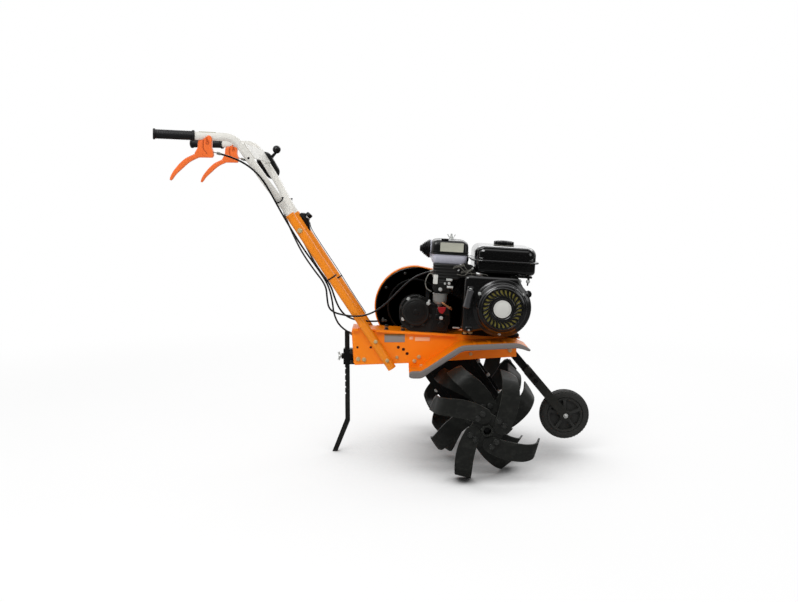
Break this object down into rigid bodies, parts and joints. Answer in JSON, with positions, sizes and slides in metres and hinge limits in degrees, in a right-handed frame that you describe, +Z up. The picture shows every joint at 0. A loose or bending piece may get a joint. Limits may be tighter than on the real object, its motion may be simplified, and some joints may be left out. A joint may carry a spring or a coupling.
{
  "type": "garden tiller",
  "caption": "Petrol garden tiller with bladed tines under a steel frame, engine, belt guard, fenders, handlebar with clutch levers, front transport wheel and rear drag stake.",
  "frame": {"origin": "on the floor, under the middle of the bounding box", "axes": "+X forward from the handlebar to the transport wheel, +Y to the operator's left, +Z up"},
  "size_m": [1.418, 0.8, 1.0906],
  "materials": {
    "bare_steel": "plain turned",
    "black_iron": "satin black",
    "black_plastic": "fine grain",
    "cable_black": "smooth sleeve",
    "carb_alloy": "as cast",
    "case_aluminium": "dark cast",
    "engine_aluminium": "as cast",
    "engine_black": "painted casting",
    "fender_sheet": "gloss powder coat",
    "grey_edging": "matt moulded strip",
    "grip_rubber": "matt moulded",
    "guard_black": "smooth",
    "hub_plastic": "moulded",
    "lever_plastic": "smooth",
    "orange_paint": "gloss powder coat",
    "shroud_black": "gloss black",
    "stake_steel": "black lacquer",
    "tank_black": "gloss black",
    "tine_steel": "black lacquer on forged steel",
    "tyre": "solid rubber",
    "white_paint": "gloss powder coat",
    "zinc_steel": "zinc plated"
  },
  "bodies": {
    "chassis": {"air_cleaner_base": "black_plastic", "air_cleaner_cover": "black_plastic", "belt_guard": "orange_paint", "belt_guard_plate": "guard_black", "cable_ferrules": "bare_steel", "carburettor": "carb_alloy", "chain_case": "black_iron", "clutch_cable_left": "cable_black", "clutch_cable_right": "cable_black", "clutch_lever_left": "lever_plastic", "clutch_lever_right": "lever_plastic", "cylinder_head": "engine_aluminium", "engine_base": "black_iron", "engine_block": "engine_black", "fan_shroud": "shroud_black", "fender_edging_left": "grey_edging", "fender_edging_right": "grey_edging", "fender_left": "fender_sheet", "fender_right": "fender_sheet", "frame_deck": "orange_paint", "frame_rear_plate": "orange_paint", "frame_side_left": "orange_paint", "frame_side_right": "orange_paint", "fuel_cap": "black_plastic", "fuel_tank": "tank_black", "gear_case": "case_aluminium", "grip_left": "grip_rubber", "grip_right": "grip_rubber", "handle_plate": "white_paint", "intake_duct": "black_plastic", "lever_bracket_left": "lever_plastic", "lever_bracket_right": "lever_plastic", "lower_tube_left": "orange_paint", "lower_tube_right": "orange_paint", "muffler": "black_iron", "pivot_bolt": "zinc_steel", "recoil_starter": "shroud_black", "stake_bracket": "black_iron", "stake_wing_bolt": "zinc_steel", "starter_handle": "black_plastic", "stop_switch": "black_plastic", "throttle": "black_plastic", "throttle_cable": "cable_black", "upper_tube_left": "white_paint", "upper_tube_right": "white_paint"},
    "tine_rotor": {"tine_group_left_1": "tine_steel", "tine_group_left_2": "tine_steel", "tine_group_left_3": "tine_steel", "tine_group_right_1": "tine_steel", "tine_group_right_2": "tine_steel", "tine_group_right_3": "tine_steel", "tine_shaft": "bare_steel"},
    "wheel_arm": {"wheel_arm": "black_iron", "wheel_fork_right": "black_iron", "wheel_fork_left": "black_iron", "wheel_bolt": "zinc_steel"},
    "front_wheel": {"wheel_tyre": "tyre", "wheel_hub": "hub_plastic"},
    "drag_stake": {"drag_stake": "stake_steel"}
  },
  "joints": [
    {"name": "tine_spin", "type": "hinge", "parent": "chassis", "child": "tine_rotor", "pos_m": [0.32005, 0, 0.17387], "axis": [0, 1, 0], "continuous": true},
    {"name": "wheel_arm_swing", "type": "hinge", "parent": "chassis", "child": "wheel_arm", "pos_m": [0.42805, 0, 0.364], "axis": [0, -1, 0], "range_deg": [0, 75]},
    {"name": "front_wheel_spin", "type": "hinge", "parent": "wheel_arm", "child": "front_wheel", "pos_m": [0.62405, 0, 0.1326], "axis": [0, 1, 0], "continuous": true},
    {"name": "drag_stake_slide", "type": "slide", "parent": "chassis", "child": "drag_stake", "axis": [0, 0, 1], "range_m": [-0.055, 0.15]}
  ]
}
